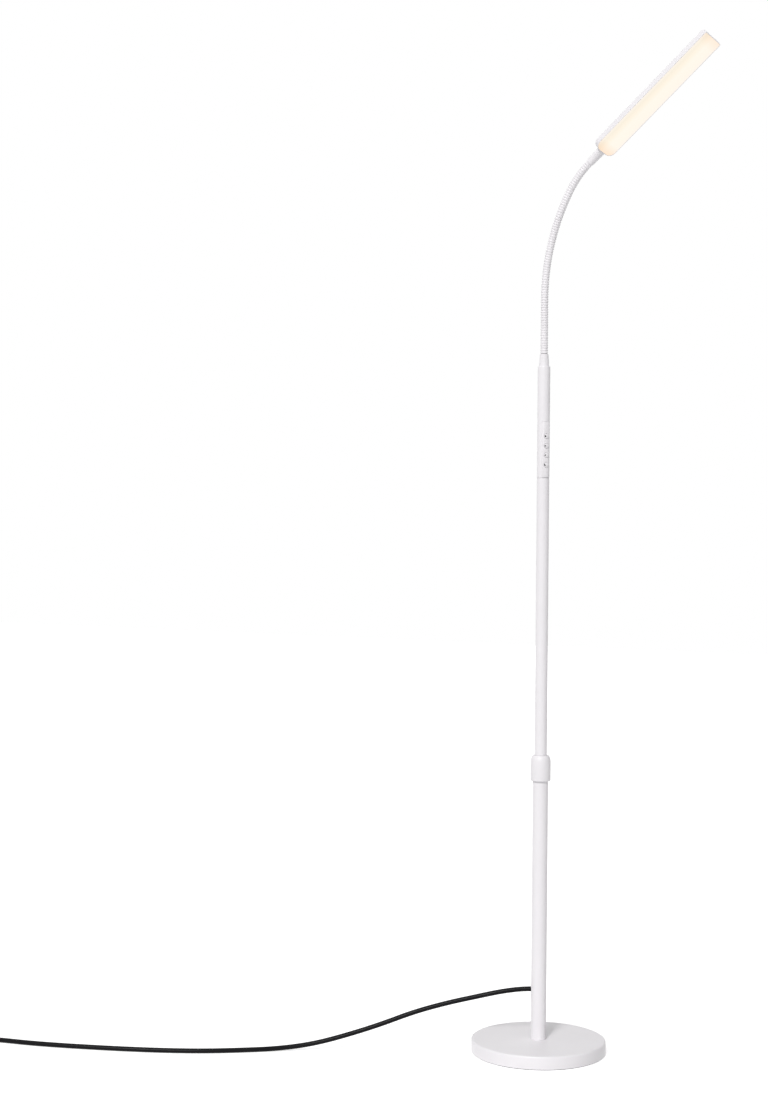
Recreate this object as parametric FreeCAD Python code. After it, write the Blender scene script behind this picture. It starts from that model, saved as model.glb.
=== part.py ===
import FreeCAD, Part
import math
import os

from FreeCAD import Vector

os.makedirs("parts", exist_ok=True)

# A gooseneck reading floor lamp, in millimetres. The origin is the centre of the base on the floor,
# +Z runs up the column and +X is the side that the gooseneck bends over to.

# ---------------------------------------------------------------- driving dimensions
RUN_GAP = 0.1             # running clearance of a shaft or thread in its bore, on the radius
PRESS_GAP = 0.05          # clearance of a spigot in the tube that it is pressed into
FREE_GAP = 0.3            # clearance between pieces that move past each other

# base
BASE_R = 110.0
BASE_HEIGHT = 22.0
BASE_EDGE_R = 3.0
COVER_WALL = 1.5
SKIRT_LIFT = 1.0          # the cover's skirt ends this far above the floor
PAD_THICK = 2.0
WEIGHT_WEB = 3.3          # iron left between the bolt pocket and the tube's seat
TUBE_SEAT_DEPTH = 6.0
BOLT_SHANK_R = 4.95
BOLT_HOLE_R = 5.5
BOLT_HEAD_FLATS = 17.0
BOLT_HEAD_THICK = 6.4
BOLT_ENGAGED = 13.0       # length of the bolt inside the tube's plug
WASHER_R = 10.0
WASHER_THICK = 2.0
BOLT_POCKET_R = 11.5
TUBE_PLUG_LENGTH = 16.0

# tubes
LOWER_TUBE_R = 12.5
LOWER_TUBE_WALL = 1.5
LOWER_TUBE_TOP = 470.0
UPPER_TUBE_R = 10.0
UPPER_TUBE_WALL = 1.2
UPPER_TUBE_TOP = 940.0

# cord exit and cord
CORD_R = 4.0
CORD_EXIT_Z = 103.6
CORD_EXIT_ANGLE = 201.0   # heading of the exit about the column, from +X
GROMMET_R = 5.4
GROMMET_LIP_R = 6.2
GROMMET_LIP = 0.4
GROMMET_DEPTH = 3.5       # from the tube's outside to the grommet's inner end

# the cord's coil and plug
COIL_TURNS = 3.25
COIL_OUTER_R = 48.0       # radius of the cord's centre line where it enters the coil
COIL_GAP = 0.6            # gap between neighbouring turns, and between the two layers
COIL_STRAIGHT = 8.0       # straight end of the coil at either side
PLUG_BODY_LENGTH = 34.0
PLUG_WIDTH = 27.0
PLUG_RELIEF_LENGTH = 24.0
PLUG_RELIEF_R = 7.5
BLADE_LENGTH = 18.0
BLADE_WIDTH = 6.35
BLADE_THICK = 1.6
BLADE_SPACING = 12.7
EARTH_PIN_R = 2.4
EARTH_PIN_LENGTH = 21.0
EARTH_PIN_DROP = 11.9     # from the blades' line to the earth pin

# twist lock
COLLET_WALL = 1.0
COLLET_SKIRT = 20.0       # thread length that grips the lower tube's outside
COLLET_SPIGOT = 32.0      # length inside the lower tube
COLLET_THREAD_ABOVE = 4.0
COLLET_CONE = 8.0
COLLET_CONE_DROP = 1.8    # how much the fingers' outside narrows over the cone
COLLET_SLIT = 1.2
COLLET_SLITS = 4
COLLAR_R = 16.4
COLLAR_BOTTOM = 446.0
COLLAR_SHOULDER = 476.0   # where the dome starts
COLLAR_TOP = 488.0
COLLAR_CHAMFER = 1.2
COLLAR_LIP = 3.0
COLLAR_LAND = 0.8         # flat ring round the collar's top hole

# foot of the upper tube
FOOT_STEM_R = 7.5
FOOT_BORE_R = 4.0
FOOT_FLANGE = 3.0
FOOT_SPIGOT = 15.0
BUSH_LENGTH = 15.0

# control section
HOUSING_R = 10.1
HOUSING_WALL = 2.0
HOUSING_LENGTH = 181.0
HOUSING_SHOULDER_R = 1.8
HOUSING_FLOOR = 3.0
HOUSING_HEAD = 20.0       # solid top that the ferrule is pressed into
HOUSING_SPIGOT = 20.0
WIRE_BORE_R = 4.0
PANEL_ANGLE = -42.0       # the button panel faces this way, from +X
PANEL_HALF_WIDTH = 6.2
PANEL_BOTTOM = 0.6        # above the housing's lower end
PANEL_LENGTH = 90.0
PANEL_INNER = 7.8         # the cover's flat back, from the column's axis
PANEL_PROUD_LOW = 0.1
PANEL_PROUD_HIGH = 0.9
PANEL_TOP_CHAMFER = 0.8
PANEL_GAP = 0.15
BUTTON_R = 3.75
BUTTON_PITCH = 15.4
BUTTON_FIRST = 21.2       # the lowest button, above the housing's lower end
BUTTON_PROUD = 0.9        # the button's side stands this far off the cover
BUTTON_DOME = 0.7
BUTTON_FLANGE_R = 4.5
BUTTON_FLANGE = 0.7
BUTTON_TRAVEL = 0.5
BUTTON_NAMES = ("button_timer", "button_tone", "button_dim", "button_power")
BUTTON_GAP = 0.25
BOARD_THICK = 1.2
BOARD_HALF_WIDTH = 6.0
BOARD_LENGTH = 78.0
SWITCH_SIZE = 4.5
SWITCH_HEIGHT = 1.5
SWITCH_STEM_R = 1.0
SWITCH_STEM = 0.1
POST_R = 1.8
POST_INSET = 9.5          # from the panel's ends to its two posts
SCREW_R = 0.9
SCREW_HEAD_R = 1.8
SCREW_HEAD = 1.2

# ferrule, gooseneck
FERRULE_R_LOW = 8.4
FERRULE_R_HIGH = 6.9
FERRULE_LENGTH = 19.7
FERRULE_SPIGOT = 11.0
NECK_STRAIGHT = 89.0      # length of tube before the bend starts
NECK_MIDDLE = 177.0       # length of the gently bent stretch
NECK_MIDDLE_TURN = 27.4   # how far that stretch turns, in degrees
NECK_END = 56.0           # length of the tighter bend below the head
NECK_END_TURN = 20.2
LINK_COUNT = 7
RIB_CREST_R = 5.9
RIB_VALLEY_R = 5.3
RIB_PITCH = 4.1
BALL_R = 4.4
BALL_LOW_ANGLE = -44.0
BALL_MID_ANGLE = -4.0
BALL_HIGH_ANGLE = 36.0
SOCKET_DEPTH = 4.2
NECK_BORE_R = 2.6

# head
HEAD_FERRULE_LENGTH = 26.4
HEAD_FERRULE_TIP_R = 6.2
HEAD_FERRULE_WIDTH = 15.0
HEAD_FERRULE_THICK = 10.6
HEAD_TENON_R = 3.0
HEAD_TENON_LENGTH = 9.0
HEAD_WIRE_R = 2.0
HEAD_LENGTH = 244.5
HEAD_WIDTH = 38.0
HEAD_THICK = 11.0
HEAD_ROLL = 30.0          # the face is turned this far towards -Y, about the head's own length
HEAD_WALL = 1.4
HEAD_CORNER_NEAR = 8.0
HEAD_CORNER_FAR = 3.5
HEAD_EDGE_R = 1.2
DIFFUSER_THICK = 2.0
DIFFUSER_GAP = 0.15
DIFFUSER_SET_BACK = 0.4
LED_BOARD_WIDTH = 22.0
LED_BOARD_THICK = 1.6
LED_BOARD_GAP = 2.2       # from the board's ends to the tenon's tip and to the far wall
LED_BOSS = 2.0            # height of the bosses that carry the board
LED_BOSS_R = 3.0
LED_COUNT = 24
LED_SIZE = 3.5
LED_HEIGHT = 0.7
HEAD_SCREW_INSET = 25.0

Z_AXIS = Vector(0, 0, 1)
ORIGIN = Vector(0, 0, 0)


# ---------------------------------------------------------------- helpers
def save(name, shape):
    shape.exportStep("parts/" + name + ".step")
    print("%-18s %9.2f cm3  solids %d  valid %s"
          % (name, shape.Volume / 1000.0, len(shape.Solids), shape.isValid()))


def turned(points):
    """Solid of revolution about Z of a closed outline given as (radius, height) pairs."""
    corners = [Vector(r, 0, z) for r, z in points]
    face = Part.Face(Part.makePolygon(corners + corners[:1]))
    return face.revolve(ORIGIN, Z_AXIS, 360)


def disc(radius, low, high):
    return Part.makeCylinder(radius, high - low, Vector(0, 0, low))


def ring(outer, inner, low, high):
    return disc(outer, low, high).cut(disc(inner, low, high))


def heading(angle):
    """Placement that turns a piece made about Z so that it points outward at an angle round the column."""
    lay_down = FreeCAD.Rotation(Vector(0, 1, 0), 90)
    swing = FreeCAD.Rotation(Z_AXIS, angle)
    return swing.multiply(lay_down)


def outward(shape, angle, height):
    """Moves a piece made about Z so that Z points outward from the column at this angle and height."""
    moved = shape.copy()
    moved.Placement = FreeCAD.Placement(Vector(0, 0, height), heading(angle)).multiply(shape.Placement)
    return moved


# ---------------------------------------------------------------- base
cover_inner_top = BASE_HEIGHT - COVER_WALL
weight_r = BASE_R - COVER_WALL - FREE_GAP
lower_inner_r = LOWER_TUBE_R - LOWER_TUBE_WALL
tube_foot = cover_inner_top - TUBE_SEAT_DEPTH
pocket_top = tube_foot - WEIGHT_WEB


def make_cover():
    shell = disc(BASE_R, SKIRT_LIFT, BASE_HEIGHT)
    rim = [e for e in shell.Edges if e.BoundBox.ZMin > BASE_HEIGHT - 1e-6]
    shell = shell.makeFillet(BASE_EDGE_R, rim)
    hollow = disc(BASE_R - COVER_WALL, SKIRT_LIFT, cover_inner_top)
    inner_rim = [e for e in hollow.Edges if e.BoundBox.ZMin > cover_inner_top - 1e-6]
    hollow = hollow.makeFillet(BASE_EDGE_R - COVER_WALL, inner_rim)
    return shell.cut(hollow).cut(disc(LOWER_TUBE_R + RUN_GAP, SKIRT_LIFT, BASE_HEIGHT))


def make_weight():
    block = disc(weight_r, PAD_THICK, cover_inner_top)
    rim = [e for e in block.Edges if e.BoundBox.ZMin > cover_inner_top - 1e-6]
    block = block.makeChamfer(BASE_EDGE_R - COVER_WALL, rim)
    block = block.cut(disc(BOLT_POCKET_R, PAD_THICK, pocket_top))
    block = block.cut(disc(BOLT_HOLE_R, pocket_top, tube_foot))
    return block.cut(disc(LOWER_TUBE_R + RUN_GAP, tube_foot, cover_inner_top))


def make_bolt():
    corner_r = BOLT_HEAD_FLATS / math.sqrt(3)
    head_top = pocket_top - WASHER_THICK
    corners = [Vector(corner_r * math.cos(math.radians(60 * k)), corner_r * math.sin(math.radians(60 * k)),
                      head_top - BOLT_HEAD_THICK) for k in range(7)]
    head = Part.Face(Part.makePolygon(corners)).extrude(Vector(0, 0, BOLT_HEAD_THICK))
    return head.fuse(disc(BOLT_SHANK_R, head_top, tube_foot + BOLT_ENGAGED)).removeSplitter()


save("base_cover", make_cover())
save("base_weight", make_weight())
save("base_pad", disc(weight_r, 0, PAD_THICK))
save("base_bolt", make_bolt())
save("base_washer", ring(WASHER_R, BOLT_HOLE_R, pocket_top - WASHER_THICK, pocket_top))
save("tube_plug", ring(lower_inner_r - PRESS_GAP, BOLT_SHANK_R + PRESS_GAP, tube_foot,
                       tube_foot + TUBE_PLUG_LENGTH))

# ---------------------------------------------------------------- lower tube and cord grommet
lower_tube = ring(LOWER_TUBE_R, lower_inner_r, tube_foot, LOWER_TUBE_TOP)


def at_exit(radius, start):
    """A round bar along the cord's way out of the tube, from this far off the column's axis."""
    return outward(disc(radius, start, 2 * LOWER_TUBE_R), CORD_EXIT_ANGLE, CORD_EXIT_Z)


def make_grommet():
    """Bush whose barrel fills the tube's hole and whose thin lip lies on the tube's outside."""
    low = CORD_EXIT_Z - GROMMET_LIP_R
    high = CORD_EXIT_Z + GROMMET_LIP_R
    barrel = disc(LOWER_TUBE_R, low, high).common(at_exit(GROMMET_R, LOWER_TUBE_R - GROMMET_DEPTH))
    lip = ring(LOWER_TUBE_R + GROMMET_LIP, LOWER_TUBE_R, low, high).common(at_exit(GROMMET_LIP_R, 0))
    return barrel.fuse(lip).cut(at_exit(CORD_R + RUN_GAP, 0)).removeSplitter()


save("lower_tube", lower_tube.cut(at_exit(GROMMET_R + PRESS_GAP, 0)))
save("cord_grommet", make_grommet())

# ---------------------------------------------------------------- twist lock
thread_r = LOWER_TUBE_R + PRESS_GAP + COLLET_WALL
collet_bore = UPPER_TUBE_R + RUN_GAP
cone_low = LOWER_TUBE_TOP + COLLET_THREAD_ABOVE
cone_high = cone_low + COLLET_CONE
spigot_bottom = LOWER_TUBE_TOP - COLLET_SPIGOT


def make_collet():
    body = turned([
        (collet_bore, spigot_bottom), (lower_inner_r - PRESS_GAP, spigot_bottom),
        (lower_inner_r - PRESS_GAP, LOWER_TUBE_TOP), (LOWER_TUBE_R + PRESS_GAP, LOWER_TUBE_TOP),
        (LOWER_TUBE_R + PRESS_GAP, LOWER_TUBE_TOP - COLLET_SKIRT), (thread_r, LOWER_TUBE_TOP - COLLET_SKIRT),
        (thread_r, cone_low), (thread_r - COLLET_CONE_DROP, cone_high), (collet_bore, cone_high)])
    slit_low = LOWER_TUBE_TOP + COLLET_THREAD_ABOVE / 2
    slit = Part.makeBox(thread_r + 1, COLLET_SLIT, cone_high - slit_low,
                        Vector(0, -COLLET_SLIT / 2, slit_low))
    for k in range(COLLET_SLITS):
        turn = slit.copy()
        turn.rotate(ORIGIN, Z_AXIS, 360.0 * k / COLLET_SLITS)
        body = body.cut(turn)
    return body


def make_collar():
    hole_r = UPPER_TUBE_R + FREE_GAP
    land_r = hole_r + COLLAR_LAND
    bore_r = thread_r + RUN_GAP
    lip_r = LOWER_TUBE_R + FREE_GAP
    cone_r = bore_r + FREE_GAP - RUN_GAP
    dome_rise = COLLAR_TOP - COLLAR_SHOULDER
    dome_run = COLLAR_R - land_r
    mid = math.radians(45)
    shoulder = Vector(COLLAR_R, 0, COLLAR_SHOULDER)
    crown = Vector(land_r, 0, COLLAR_TOP)
    crest = Vector(land_r + dome_run * math.cos(mid), 0, COLLAR_SHOULDER + dome_rise * math.sin(mid))
    outline = [crown, Vector(hole_r, 0, COLLAR_TOP), Vector(hole_r, 0, cone_high + FREE_GAP),
               Vector(cone_r - COLLET_CONE_DROP, 0, cone_high + FREE_GAP), Vector(cone_r, 0, cone_low),
               Vector(bore_r, 0, cone_low), Vector(bore_r, 0, COLLAR_BOTTOM + COLLAR_LIP),
               Vector(lip_r, 0, COLLAR_BOTTOM + COLLAR_LIP), Vector(lip_r, 0, COLLAR_BOTTOM),
               Vector(COLLAR_R - COLLAR_CHAMFER, 0, COLLAR_BOTTOM),
               Vector(COLLAR_R, 0, COLLAR_BOTTOM + COLLAR_CHAMFER), shoulder]
    edges = [Part.makeLine(a, b) for a, b in zip(outline, outline[1:])]
    edges.append(Part.Arc(shoulder, crest, crown).toShape())
    return Part.Face(Part.Wire(edges)).revolve(ORIGIN, Z_AXIS, 360)


save("collet", make_collet())
save("lock_collar", make_collar())

# ---------------------------------------------------------------- upper tube and its foot
upper_inner_r = UPPER_TUBE_R - UPPER_TUBE_WALL
bush_top = spigot_bottom - FREE_GAP
bush_bottom = bush_top - BUSH_LENGTH
flange_bottom = bush_top + FREE_GAP / 2
tube_bottom = flange_bottom + FOOT_FLANGE
foot_low = bush_bottom - FREE_GAP / 2 - FOOT_FLANGE


def make_foot():
    body = turned([
        (FOOT_BORE_R, foot_low), (collet_bore - FREE_GAP, foot_low),
        (collet_bore - FREE_GAP, foot_low + FOOT_FLANGE), (FOOT_STEM_R, foot_low + FOOT_FLANGE),
        (FOOT_STEM_R, flange_bottom), (collet_bore - FREE_GAP, flange_bottom),
        (collet_bore - FREE_GAP, tube_bottom), (upper_inner_r - PRESS_GAP, tube_bottom),
        (upper_inner_r - PRESS_GAP, tube_bottom + FOOT_SPIGOT), (FOOT_BORE_R, tube_bottom + FOOT_SPIGOT)])
    return body


save("slide_bush", ring(lower_inner_r - RUN_GAP, FOOT_STEM_R + PRESS_GAP, bush_bottom, bush_top))
save("tube_foot", make_foot())
save("upper_tube", ring(UPPER_TUBE_R, upper_inner_r, tube_bottom, UPPER_TUBE_TOP))

# ---------------------------------------------------------------- control section
housing_top = UPPER_TUBE_TOP + HOUSING_LENGTH
housing_inner_r = HOUSING_R - HOUSING_WALL
ferrule_seat_r = FERRULE_R_HIGH + RUN_GAP
panel_low = UPPER_TUBE_TOP + PANEL_BOTTOM
panel_high = panel_low + PANEL_LENGTH
button_heights = [UPPER_TUBE_TOP + BUTTON_FIRST + BUTTON_PITCH * k for k in range(len(BUTTON_NAMES))]
flange_face = PANEL_INNER - RUN_GAP
switch_top = flange_face - BUTTON_FLANGE - BUTTON_TRAVEL - RUN_GAP
board_face = switch_top - SWITCH_STEM - SWITCH_HEIGHT
board_back = board_face - BOARD_THICK
board_low = (panel_low + panel_high - BOARD_LENGTH) / 2
post_heights = (panel_low + POST_INSET, panel_high - POST_INSET)


def on_panel(shape):
    """Turns a piece made facing +X to the way the button panel faces."""
    moved = shape.copy()
    moved.rotate(ORIGIN, Z_AXIS, PANEL_ANGLE)
    return moved


def panel_block(grow):
    """The strip that the control cover fills, grown by a clearance."""
    low = panel_low - grow
    high = panel_high + grow
    low_r = HOUSING_R + PANEL_PROUD_LOW
    high_r = HOUSING_R + PANEL_PROUD_HIGH
    cone = Part.makeCone(low_r, high_r, high - low, Vector(0, 0, low))
    half = PANEL_HALF_WIDTH + grow
    slab = Part.makeBox(HOUSING_R + 1, 2 * half, high - low, Vector(PANEL_INNER - grow, -half, low))
    return cone.common(slab)


def make_housing():
    body = turned([
        (WIRE_BORE_R, UPPER_TUBE_TOP - HOUSING_SPIGOT),
        (upper_inner_r - PRESS_GAP, UPPER_TUBE_TOP - HOUSING_SPIGOT),
        (upper_inner_r - PRESS_GAP, UPPER_TUBE_TOP), (HOUSING_R, UPPER_TUBE_TOP), (HOUSING_R, housing_top),
        (ferrule_seat_r, housing_top), (ferrule_seat_r, housing_top - FERRULE_SPIGOT),
        (WIRE_BORE_R, housing_top - FERRULE_SPIGOT), (WIRE_BORE_R, housing_top - HOUSING_HEAD),
        (housing_inner_r, housing_top - HOUSING_HEAD), (housing_inner_r, UPPER_TUBE_TOP + HOUSING_FLOOR),
        (WIRE_BORE_R, UPPER_TUBE_TOP + HOUSING_FLOOR)])
    shoulder = [e for e in body.Edges if e.BoundBox.ZMin > housing_top - 1e-6
                and e.BoundBox.XMax > HOUSING_R - 1e-6]
    body = body.makeFillet(HOUSING_SHOULDER_R, shoulder)
    half = BUTTON_FLANGE_R + FREE_GAP
    low = button_heights[0] - half
    high = button_heights[-1] + half
    window = Part.makeBox(HOUSING_R, 2 * half, high - low, Vector(board_face, -half, low))
    return body.cut(on_panel(panel_block(PANEL_GAP))).cut(on_panel(window))


def make_control_cover():
    cover = panel_block(0)
    top_front = [e for e in cover.Edges if e.BoundBox.ZMin > panel_high - 1e-6
                 and e.BoundBox.XMax > HOUSING_R]
    cover = cover.makeChamfer(PANEL_TOP_CHAMFER, top_front)
    for height in button_heights:
        bore = Part.makeCylinder(BUTTON_R + BUTTON_GAP, HOUSING_R, Vector(PANEL_INNER - 1, 0, height),
                                 Vector(1, 0, 0))
        cover = cover.cut(bore)
    for height in post_heights:
        post = Part.makeCylinder(POST_R, PANEL_INNER - board_face + 0.5, Vector(board_face, 0, height),
                                 Vector(1, 0, 0))
        hole = Part.makeCylinder(SCREW_R, PANEL_INNER - board_face, Vector(board_face, 0, height),
                                 Vector(1, 0, 0))
        cover = cover.fuse(post).cut(hole)
    return on_panel(cover.removeSplitter())


def make_board():
    board = Part.makeBox(BOARD_THICK, 2 * BOARD_HALF_WIDTH, BOARD_LENGTH,
                         Vector(board_back, -BOARD_HALF_WIDTH, board_low))
    for height in post_heights:
        board = board.cut(Part.makeCylinder(SCREW_R + RUN_GAP, BOARD_THICK, Vector(board_back, 0, height),
                                            Vector(1, 0, 0)))
    return on_panel(board)


def make_switches():
    switches = []
    for height in button_heights:
        case = Part.makeBox(SWITCH_HEIGHT, SWITCH_SIZE, SWITCH_SIZE,
                            Vector(board_face, -SWITCH_SIZE / 2, height - SWITCH_SIZE / 2))
        stem = Part.makeCylinder(SWITCH_STEM_R, SWITCH_STEM, Vector(board_face + SWITCH_HEIGHT, 0, height),
                                 Vector(1, 0, 0))
        switches.append(on_panel(case.fuse(stem)))
    return Part.makeCompound(switches)


def make_board_screws():
    screws = []
    shank = PANEL_INNER - board_back - 1.0
    for height in post_heights:
        head = Part.makeCylinder(SCREW_HEAD_R, SCREW_HEAD, Vector(board_back - SCREW_HEAD, 0, height),
                                 Vector(1, 0, 0))
        thread = Part.makeCylinder(SCREW_R - PRESS_GAP, shank, Vector(board_back, 0, height),
                                   Vector(1, 0, 0))
        screws.append(on_panel(head.fuse(thread)))
    return Part.makeCompound(screws)


def make_button(height):
    """A round cap with a domed face, kept in by the flange behind the cover."""
    level = (height - panel_low) / PANEL_LENGTH
    cover_face = HOUSING_R + PANEL_PROUD_LOW + (PANEL_PROUD_HIGH - PANEL_PROUD_LOW) * level
    side_top = cover_face + BUTTON_PROUD
    flange_back = flange_face - BUTTON_FLANGE
    rim = Vector(BUTTON_R, 0, side_top)
    crown = Vector(0, 0, side_top + BUTTON_DOME)
    dome_r = (BUTTON_R ** 2 + BUTTON_DOME ** 2) / (2 * BUTTON_DOME)
    half = math.asin(BUTTON_R / dome_r) / 2
    between = Vector(dome_r * math.sin(half), 0, crown.z - dome_r * (1 - math.cos(half)))
    corners = [crown, Vector(0, 0, flange_back), Vector(BUTTON_FLANGE_R, 0, flange_back),
               Vector(BUTTON_FLANGE_R, 0, flange_face), Vector(BUTTON_R, 0, flange_face), rim]
    edges = [Part.makeLine(a, b) for a, b in zip(corners, corners[1:])]
    edges.append(Part.Arc(rim, between, crown).toShape())
    cap = Part.Face(Part.Wire(edges)).revolve(ORIGIN, Z_AXIS, 360)
    return outward(cap, PANEL_ANGLE, height)


save("control_housing", make_housing())
save("control_cover", make_control_cover())
save("control_board", make_board())
save("tact_switches", make_switches())
save("board_screws", make_board_screws())
for button_name, button_height in zip(BUTTON_NAMES, button_heights):
    save(button_name, make_button(button_height))

# ---------------------------------------------------------------- gooseneck
neck_base = housing_top + FERRULE_LENGTH
neck_length = NECK_STRAIGHT + NECK_MIDDLE + NECK_END


def neck_angle(s):
    """Lean of the gooseneck from upright, in degrees, at a length s along it."""
    middle = min(max(s - NECK_STRAIGHT, 0), NECK_MIDDLE)
    end = max(s - NECK_STRAIGHT - NECK_MIDDLE, 0)
    return NECK_MIDDLE_TURN * middle / NECK_MIDDLE + NECK_END_TURN * end / NECK_END


def neck_point(s, steps=400):
    """Point on the gooseneck's centre line at a length s, by adding up short steps."""
    x = 0.0
    z = neck_base
    step = s / steps
    for k in range(steps):
        lean = math.radians(neck_angle((k + 0.5) * step))
        x += step * math.sin(lean)
        z += step * math.cos(lean)
    return Vector(x, 0, z)


pivots = [neck_point(neck_length * k / LINK_COUNT) for k in range(LINK_COUNT + 1)]
end_lean = neck_angle(neck_length)


def ball_point(angle, at):
    a = math.radians(angle)
    return (BALL_R * math.cos(a), at + BALL_R * math.sin(a))


def ball_outline(at):
    """Outside of the ball end whose centre is at this height, from its neck to its top."""
    return [ball_point(angle, at) for angle in (BALL_LOW_ANGLE, BALL_MID_ANGLE, BALL_HIGH_ANGLE)]


def socket_outline(at):
    """Inside of the socket that opens downward at this height, from the bore to its mouth."""
    socket_r = BALL_R + FREE_GAP
    return [(NECK_BORE_R, at + SOCKET_DEPTH), (socket_r, at + SOCKET_DEPTH), (socket_r, at)]


def make_link(length):
    """One ribbed length of the wound tube, upright, its lower pivot at the origin."""
    top_neck = ball_outline(length)[0][1]
    ribs = round(top_neck / RIB_PITCH)
    pitch = top_neck / ribs
    outline = [(RIB_VALLEY_R, 0)]
    for k in range(ribs):
        outline.append((RIB_CREST_R, pitch * (k + 0.5)))
        if k < ribs - 1:
            outline.append((RIB_VALLEY_R, pitch * (k + 1)))
    outline += ball_outline(length)
    outline.append((NECK_BORE_R, ball_outline(length)[-1][1]))
    outline += socket_outline(0)
    return turned(outline)


def lean_to(shape, start, end):
    """Stands an upright piece on a start point, leaning towards an end point."""
    moved = shape.copy()
    turn = FreeCAD.Rotation(Z_AXIS, end.sub(start))
    moved.Placement = FreeCAD.Placement(start, turn)
    return moved


ferrule_outline = [
    (WIRE_BORE_R, housing_top - FERRULE_SPIGOT), (ferrule_seat_r - RUN_GAP, housing_top - FERRULE_SPIGOT),
    (ferrule_seat_r - RUN_GAP, housing_top), (FERRULE_R_LOW, housing_top)]
ferrule_outline += [(FERRULE_R_HIGH, ball_outline(neck_base)[0][1])]
ferrule_outline += ball_outline(neck_base)
ferrule_outline += [(NECK_BORE_R, ball_outline(neck_base)[-1][1]), (NECK_BORE_R, housing_top),
                    (WIRE_BORE_R, housing_top)]
save("neck_ferrule", turned(ferrule_outline))

for k in range(LINK_COUNT):
    start, end = pivots[k], pivots[k + 1]
    save("neck_link_%d" % (k + 1), lean_to(make_link(end.sub(start).Length), start, end))
for k, pivot in enumerate(pivots):
    lean = neck_angle(neck_length * k / LINK_COUNT)
    print("   pivot %d at x %.3f z %.3f, lean %.2f" % (k + 1, pivot.x, pivot.z, lean))


# ---------------------------------------------------------------- head
def on_head(shape):
    """Moves a piece made with the head lying along +X, face down, to its place on the gooseneck."""
    moved = shape.copy()
    roll = FreeCAD.Rotation(Vector(-1, 0, 0), HEAD_ROLL)
    rise = FreeCAD.Rotation(Vector(0, 1, 0), end_lean - 90)
    moved.Placement = FreeCAD.Placement(pivots[-1], rise.multiply(roll)).multiply(shape.Placement)
    return moved


head_near = HEAD_FERRULE_LENGTH
head_far = head_near + HEAD_LENGTH


def head_slab(inset, low, high):
    """A plate of the head's outline, drawn in by an inset, between two heights."""
    near = head_near + inset
    far = head_far - inset
    half = HEAD_WIDTH / 2 - inset
    plate = Part.makeBox(far - near, 2 * half, high - low, Vector(near, -half, low))
    for end, corner_r in ((near, HEAD_CORNER_NEAR - inset), (far, HEAD_CORNER_FAR - inset)):
        upright = [e for e in plate.Edges if e.BoundBox.ZLength > high - low - 1e-6
                   and e.BoundBox.YLength < 1e-6 and abs(e.BoundBox.XMin - end) < 1e-6]
        plate = plate.makeFillet(corner_r, upright)
    return plate


half_thick = HEAD_THICK / 2
tray_floor = half_thick - HEAD_WALL
lens_seat = -half_thick + DIFFUSER_SET_BACK + DIFFUSER_THICK
lens_ledge = HEAD_WALL + DIFFUSER_GAP
board_seat = tray_floor - LED_BOSS
board_under = board_seat - LED_BOARD_THICK
led_board_start = head_near + HEAD_TENON_LENGTH + LED_BOARD_GAP
led_board_end = head_far - HEAD_WALL - LED_BOARD_GAP
led_board_length = led_board_end - led_board_start
screw_places = (led_board_start + HEAD_SCREW_INSET, led_board_end - HEAD_SCREW_INSET)


def x_cylinder(radius, start, length):
    return Part.makeCylinder(radius, length, Vector(start, 0, 0), Vector(1, 0, 0))


def make_head_housing():
    body = head_slab(0, -half_thick, half_thick)
    back_rim = [e for e in body.Edges if e.BoundBox.ZMin > half_thick - 1e-6]
    body = body.makeFillet(HEAD_EDGE_R, back_rim)
    body = body.cut(head_slab(HEAD_WALL, -half_thick, tray_floor))
    for place in screw_places:
        boss = Part.makeCylinder(LED_BOSS_R, LED_BOSS, Vector(place, 0, board_seat))
        body = body.fuse(boss)
        body = body.cut(Part.makeCylinder(SCREW_R, LED_BOSS, Vector(place, 0, board_seat)))
    return on_head(body.cut(x_cylinder(HEAD_TENON_R + PRESS_GAP, head_near, HEAD_WALL)).removeSplitter())


def make_head_ferrule():
    """Sleeve that goes from the round neck to the flat end of the head, with a tenon into the housing."""
    round_end = Part.Wire(Part.Circle(ORIGIN, Z_AXIS, HEAD_FERRULE_TIP_R).toShape())
    flat_end = Part.Wire(Part.Ellipse(ORIGIN, HEAD_FERRULE_WIDTH / 2, HEAD_FERRULE_THICK / 2).toShape())
    flat_end.rotate(ORIGIN, Z_AXIS, 90)
    flat_end.translate(Vector(0, 0, head_near))
    sleeve = Part.makeLoft([round_end, flat_end], True, True)
    sleeve = sleeve.fuse(disc(HEAD_TENON_R, head_near - 1, head_near + HEAD_TENON_LENGTH))
    sleeve = sleeve.cut(disc(BALL_R + FREE_GAP, 0, SOCKET_DEPTH))
    sleeve = sleeve.cut(disc(HEAD_WIRE_R, 0, head_near + HEAD_TENON_LENGTH))
    sleeve.rotate(ORIGIN, Vector(0, 1, 0), 90)
    return on_head(sleeve)


def make_led_board():
    board = Part.makeBox(led_board_length, LED_BOARD_WIDTH, LED_BOARD_THICK,
                         Vector(led_board_start, -LED_BOARD_WIDTH / 2, board_under))
    for place in screw_places:
        hole = Part.makeCylinder(SCREW_R + RUN_GAP, LED_BOARD_THICK, Vector(place, 0, board_under))
        board = board.cut(hole)
    return on_head(board)


def make_leds():
    pitch = led_board_length / LED_COUNT
    chips = []
    for k in range(LED_COUNT):
        x = led_board_start + pitch * (k + 0.5)
        if min(abs(x - place) for place in screw_places) < LED_SIZE:
            continue
        corner = Vector(x - LED_SIZE / 2, -LED_SIZE / 2, board_under - LED_HEIGHT)
        chips.append(on_head(Part.makeBox(LED_SIZE, LED_SIZE, LED_HEIGHT, corner)))
    return Part.makeCompound(chips)


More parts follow.
